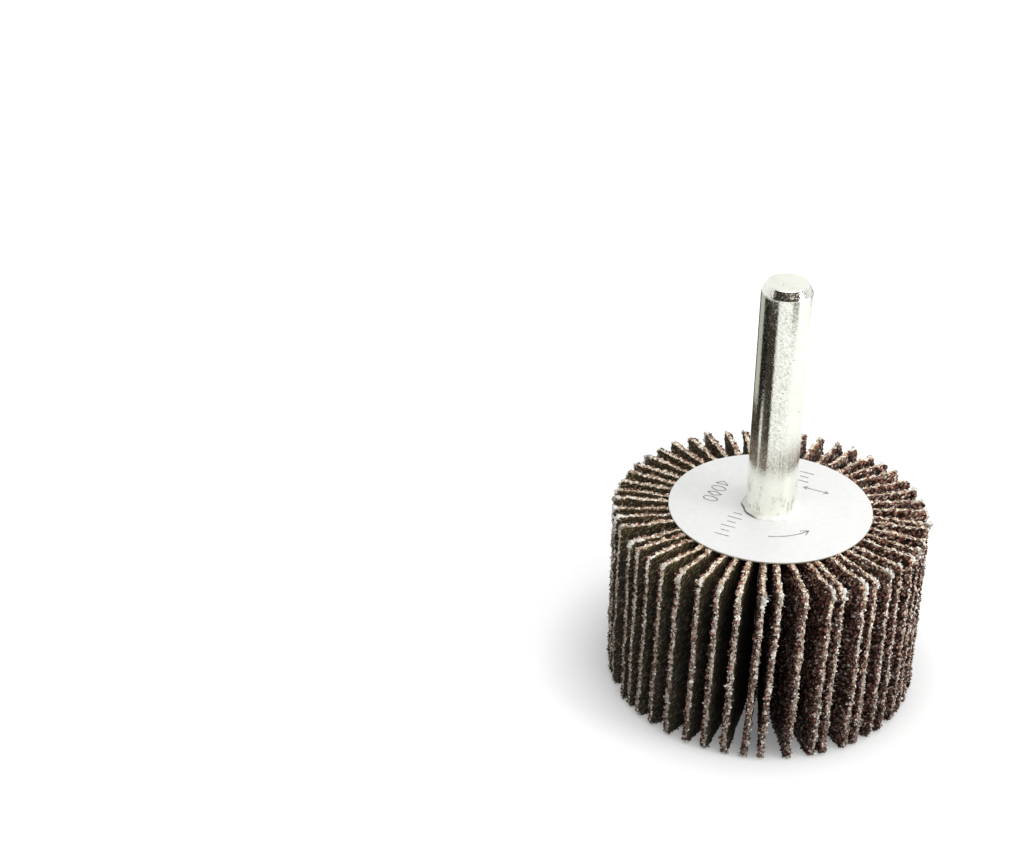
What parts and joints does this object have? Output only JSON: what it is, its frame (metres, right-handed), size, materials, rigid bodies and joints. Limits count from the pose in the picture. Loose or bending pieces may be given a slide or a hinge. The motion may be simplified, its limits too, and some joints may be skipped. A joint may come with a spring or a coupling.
{
  "type": "flap wheel",
  "caption": "Shank-mounted abrasive flap wheel: leaves of abrasive cloth set on edge around a cast resin core, with a round card label and a chamfered steel pin.",
  "frame": {"origin": "on the wheel's axis, at the centre of the free end face, the one away from the shank", "axes": "+Z along the axis towards the shank; +X and +Y across the wheel, +Y away from the picture's viewer"},
  "size_m": [0.04, 0.04, 0.0571],
  "materials": {
    "plated_steel": "nickel plated, polished, with fine pits",
    "cast_resin": "cast filled resin, satin, grey-white",
    "label_card": "white coated card with thin grey print",
    "abrasive_cloth": "red-brown aluminium oxide grit on dark cotton cloth, frayed at the cut edges"
  },
  "bodies": {
    "root": {"shank": "plated_steel", "resin_core": "cast_resin", "label_disc": "label_card", "flap_01": "abrasive_cloth", "flap_02": "abrasive_cloth", "flap_03": "abrasive_cloth", "flap_04": "abrasive_cloth", "flap_05": "abrasive_cloth", "flap_06": "abrasive_cloth", "flap_07": "abrasive_cloth", "flap_08": "abrasive_cloth", "flap_09": "abrasive_cloth", "flap_10": "abrasive_cloth", "flap_11": "abrasive_cloth", "flap_12": "abrasive_cloth", "flap_13": "abrasive_cloth", "flap_14": "abrasive_cloth", "flap_15": "abrasive_cloth", "flap_16": "abrasive_cloth", "flap_17": "abrasive_cloth", "flap_18": "abrasive_cloth", "flap_19": "abrasive_cloth", "flap_20": "abrasive_cloth", "flap_21": "abrasive_cloth", "flap_22": "abrasive_cloth", "flap_23": "abrasive_cloth", "flap_24": "abrasive_cloth", "flap_25": "abrasive_cloth", "flap_26": "abrasive_cloth", "flap_27": "abrasive_cloth", "flap_28": "abrasive_cloth", "flap_29": "abrasive_cloth", "flap_30": "abrasive_cloth", "flap_31": "abrasive_cloth", "flap_32": "abrasive_cloth", "flap_33": "abrasive_cloth", "flap_34": "abrasive_cloth", "flap_35": "abrasive_cloth", "flap_36": "abrasive_cloth", "flap_37": "abrasive_cloth", "flap_38": "abrasive_cloth", "flap_39": "abrasive_cloth", "flap_40": "abrasive_cloth", "flap_41": "abrasive_cloth", "flap_42": "abrasive_cloth", "flap_43": "abrasive_cloth", "flap_44": "abrasive_cloth", "flap_45": "abrasive_cloth", "flap_46": "abrasive_cloth", "flap_47": "abrasive_cloth", "flap_48": "abrasive_cloth", "flap_49": "abrasive_cloth", "flap_50": "abrasive_cloth"}
  },
  "joints": []
}
